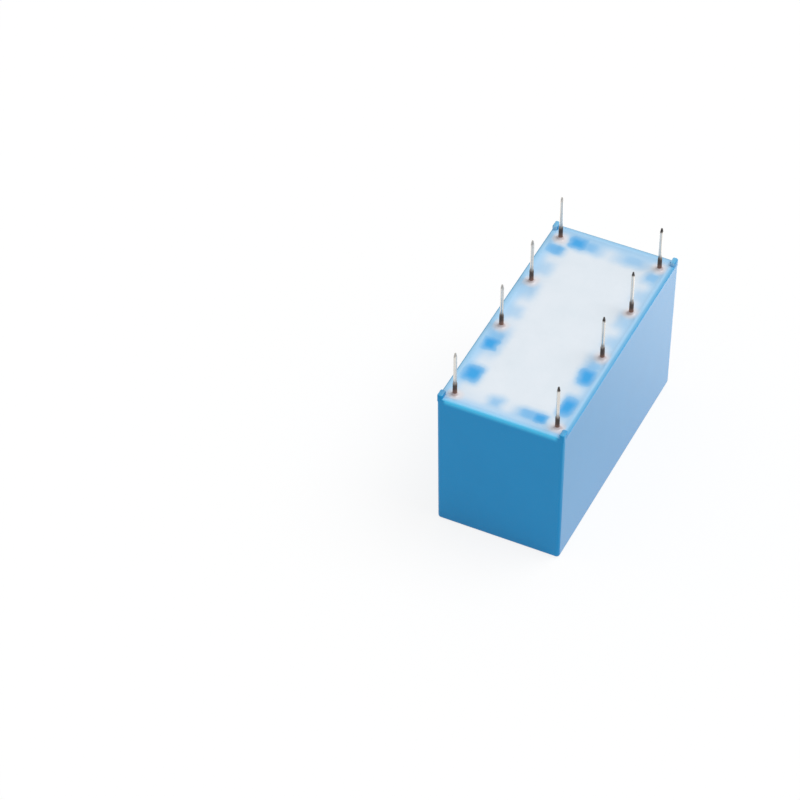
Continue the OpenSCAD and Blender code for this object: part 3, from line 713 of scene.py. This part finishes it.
def wound_copper():
    """Enamelled wire, side by side round the coil."""
    g = Graph("copper", Metallic=0.85)
    ridge = g.math("SINE", g.math("MULTIPLY", g.axis("X"), 2 * math.pi * TURNS_PER_MM))
    gloss = g.noise(2.5, detail=3, rough=0.6)
    g.set("Base Color", g.mix(gloss, srgb(142, 70, 34), srgb(206, 118, 62)))
    g.set("Roughness", g.between(gloss, 0.2, 0.4))
    g.bump(ridge, depth_mm=0.02)
    return g.material


def film_tape():
    """Clear yellow film with a few creases."""
    g = Graph("tape", IOR=1.55, Coat_Weight=0.5, Coat_Roughness=0.08)
    creases = g.noise(0.9, detail=4, rough=0.7, stretch=(1, 0.3, 1))
    g.set("Base Color", g.mix(creases, srgb(214, 168, 44), srgb(240, 206, 92)))
    g.set("Roughness", g.between(creases, 0.2, 0.4))
    g.bump(creases, depth_mm=0.02)
    return g.material


MATERIALS = {
    "case_plastic": case_plastic(),
    "base_plastic": moulded_plastic("base_plastic", srgb(48, 160, 232), srgb(30, 144, 220)),
    "potting": potting_resin(),
    "tinned_terminal": pin_metal(),
    "bobbin_plastic": moulded_plastic("bobbin_plastic", srgb(236, 230, 214), srgb(222, 214, 194)),
    "copper": wound_copper(),
    "tape": film_tape(),
    "soft_iron": metal("soft_iron", srgb(196, 198, 202), srgb(158, 160, 166),
                       (0.23, 0.48), (0.15, 1, 1)),
    "spring_bronze": metal("spring_bronze", srgb(214, 170, 104), srgb(176, 130, 70),
                           (0.18, 0.43), (1, 1, 0.12)),
    "card_plastic": moulded_plastic("card_plastic", srgb(230, 224, 204), srgb(214, 206, 182)),
    "contact_silver": metal("contact_silver", srgb(228, 228, 230), srgb(196, 196, 200),
                            (0.1, 0.35), (1, 1, 1)),
}


def dress():
    """Gives every piece and every CAD node the material of its slot."""
    for piece, slot in ((make_case(), "case_plastic"), (make_potting(), "potting")):
        piece.data.materials.clear()
        piece.data.materials.append(MATERIALS[slot])
    for part in frame["record"]["subparts"]:
        obj = nodes[part["node"]]
        obj.data.materials.clear()
        obj.data.materials.append(MATERIALS[part["material_slot"]])
        shade(obj, NODE_SMOOTH)


# Studio: strength of world, floor and visible shadow, from 0 to 1, then of the sun, and its place
AMBIENT = 0.6
FLOOR_GREY = 0.86
SHADE_SEEN = 0.16
SUN_SHARE = 0.42
SUN_ELEVATION = 62
SUN_AZIMUTH = 30
SUN_WIDTH = 40
# How much brighter reflections show the floor towards the contact end, and over which x, in mm
GLOSS_LIFT = 0.7
GLOSS_X0 = 0
GLOSS_X1 = 22
# Half the floor's side, in metres, and its height in mm, just clear of the closed face
FLOOR_HALF = 3.0
FLOOR_Z = -0.01


def white_to_view(tree, lit, white):
    """Mixes a lit shader with plain white for what the camera, gloss and glass see of it."""
    path = tree.nodes.new("ShaderNodeLightPath")
    seen = None
    for name in ("Is Camera Ray", "Is Glossy Ray", "Is Transmission Ray"):
        if seen is None:
            seen = path.outputs[name]
            continue
        join = tree.nodes.new("ShaderNodeMath")
        join.operation = "MAXIMUM"
        tree.links.new(seen, join.inputs[0])
        tree.links.new(path.outputs[name], join.inputs[1])
        seen = join.outputs[0]
    mix = tree.nodes.new("ShaderNodeMixShader")
    tree.links.new(seen, mix.inputs[0])
    tree.links.new(lit, mix.inputs[1])
    tree.links.new(white, mix.inputs[2])
    return mix.outputs[0]


def make_world():
    """An even white sky, dimmer on the object than it looks in the background."""
    world = bpy.data.worlds.new("studio")
    bpy.context.scene.world = world
    world.use_nodes = True
    tree = world.node_tree
    tree.nodes.clear()
    lit = tree.nodes.new("ShaderNodeBackground")
    lit.inputs["Strength"].default_value = AMBIENT
    white = tree.nodes.new("ShaderNodeBackground")
    for node in (lit, white):
        node.inputs["Color"].default_value = (1, 1, 1, 1)
    out = tree.nodes.new("ShaderNodeOutputWorld")
    tree.links.new(white_to_view(tree, lit.outputs[0], white.outputs[0]), out.inputs["Surface"])


def make_floor():
    """A floor that lights the object as pale grey card and looks white with a faint shadow."""
    mesh = bpy.data.meshes.new("floor")
    half, z = FLOOR_HALF, FLOOR_Z * MM
    corners = [(-half, -half, z), (half, -half, z), (half, half, z), (-half, half, z)]
    mesh.from_pydata(corners, [], [(0, 1, 2, 3)])
    floor = bpy.data.objects.new("floor", mesh)
    bpy.context.scene.collection.objects.link(floor)
    material = bpy.data.materials.new("floor")
    material.use_nodes = True
    tree = material.node_tree
    tree.nodes.clear()
    card = tree.nodes.new("ShaderNodeBsdfDiffuse")
    card.inputs["Color"].default_value = (FLOOR_GREY, FLOOR_GREY, FLOOR_GREY, 1)
    shaded = tree.nodes.new("ShaderNodeBsdfDiffuse")
    shaded.inputs["Color"].default_value = (SHADE_SEEN, SHADE_SEEN, SHADE_SEEN, 1)
    place = tree.nodes.new("ShaderNodeTexCoord")
    split = tree.nodes.new("ShaderNodeSeparateXYZ")
    tree.links.new(place.outputs["Object"], split.inputs[0])
    path = tree.nodes.new("ShaderNodeLightPath")
    brighter = tree.nodes.new("ShaderNodeMapRange")
    brighter.interpolation_type = "SMOOTHSTEP"
    tree.links.new(split.outputs["X"], brighter.inputs[0])
    tree.links.new(path.outputs["Is Glossy Ray"], brighter.inputs[4])
    for i, value in ((1, GLOSS_X0 * MM), (2, GLOSS_X1 * MM), (3, 0.0)):
        brighter.inputs[i].default_value = value
    strength = tree.nodes.new("ShaderNodeMath")
    strength.operation = "MULTIPLY_ADD"
    tree.links.new(brighter.outputs[0], strength.inputs[0])
    strength.inputs[1].default_value = GLOSS_LIFT
    strength.inputs[2].default_value = 1.0 - SHADE_SEEN
    glow = tree.nodes.new("ShaderNodeEmission")
    tree.links.new(strength.outputs[0], glow.inputs["Strength"])
    lifted = tree.nodes.new("ShaderNodeAddShader")
    tree.links.new(shaded.outputs[0], lifted.inputs[0])
    tree.links.new(glow.outputs[0], lifted.inputs[1])
    out = tree.nodes.new("ShaderNodeOutputMaterial")
    tree.links.new(white_to_view(tree, card.outputs[0], lifted.outputs[0]), out.inputs["Surface"])
    mesh.materials.append(material)


def direction(azimuth, elevation):
    """Unit vector towards a place seen at that azimuth and elevation, as the camera's are given."""
    a, e = math.radians(azimuth), math.radians(elevation)
    return Vector((math.sin(a) * math.cos(e), -math.cos(a) * math.cos(e), math.sin(e)))


def looking(back):
    """Rotation of a camera or lamp whose own Z points along back, with its X level."""
    right = Vector((0, 0, 1)).cross(back).normalized()
    up = back.cross(right)
    return Matrix((right, up, back)).transposed().to_4x4()


def make_sun():
    lamp = bpy.data.lights.new("key", "SUN")
    lamp.energy = SUN_SHARE * math.pi / math.sin(math.radians(SUN_ELEVATION))
    lamp.angle = math.radians(SUN_WIDTH)
    sun = bpy.data.objects.new("key", lamp)
    sun.matrix_world = looking(direction(SUN_AZIMUTH, SUN_ELEVATION))
    bpy.context.scene.collection.objects.link(sun)


def make_camera():
    back = direction(AZIMUTH, ELEVATION)
    camera = bpy.data.objects.new("camera", bpy.data.cameras.new("camera"))
    camera.data.sensor_width = SENSOR_MM
    camera.data.lens = FOCAL_PX / IMAGE_PX * SENSOR_MM
    camera.data.clip_start = CLIP_START_MM * MM
    place = (TARGET_MM + back * DISTANCE_MM) * MM
    camera.matrix_world = Matrix.Translation(place) @ looking(back)
    bpy.context.scene.collection.objects.link(camera)
    bpy.context.scene.camera = camera


dress()
make_world()
make_floor()
make_sun()
make_camera()
bpy.context.scene.view_settings.view_transform = "Standard"
